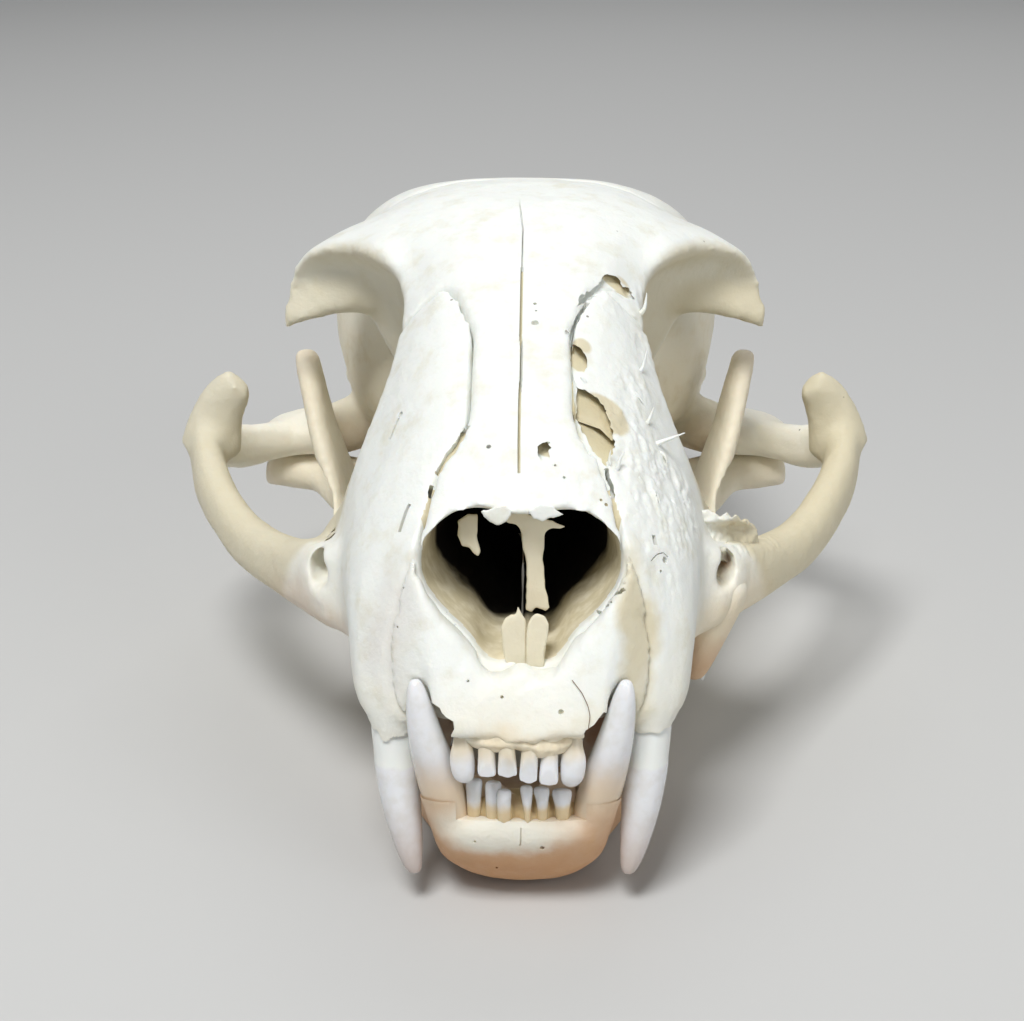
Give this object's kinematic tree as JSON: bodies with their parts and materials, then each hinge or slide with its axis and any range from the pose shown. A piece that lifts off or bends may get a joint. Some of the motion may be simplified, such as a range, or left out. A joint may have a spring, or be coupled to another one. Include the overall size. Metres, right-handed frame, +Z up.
{
  "type": "cat skull",
  "caption": "Life-size skull of a domestic cat with its lower jaw and teeth in place, lying on the jaw as a museum shows it.",
  "frame": {"origin": "on the floor under the middle of the skull's bounding box", "axes": "+Z up, -Y towards the incisors and the viewer of the picture, +X to the viewer's right, which is the animal's left"},
  "size_m": [0.0698, 0.095, 0.0487],
  "materials": {
    "bone_white": "matte",
    "bone_ivory": "matte",
    "bone_tan": "matte",
    "bone_stained": "matte",
    "tooth_enamel": "gloss"
  },
  "bodies": {
    "root": {"braincase": "bone_ivory", "frontal": "bone_white", "nasal_left": "bone_white", "nasal_right": "bone_white", "nasal_septum": "bone_tan", "maxilla_left": "bone_white", "maxilla_right": "bone_white", "premaxilla": "bone_white", "zygomatic_arch_left": "bone_ivory", "zygomatic_arch_right": "bone_ivory", "auditory_bulla_left": "bone_ivory", "auditory_bulla_right": "bone_ivory", "mandible_left": "bone_stained", "mandible_right": "bone_stained"}
  },
  "joints": []
}
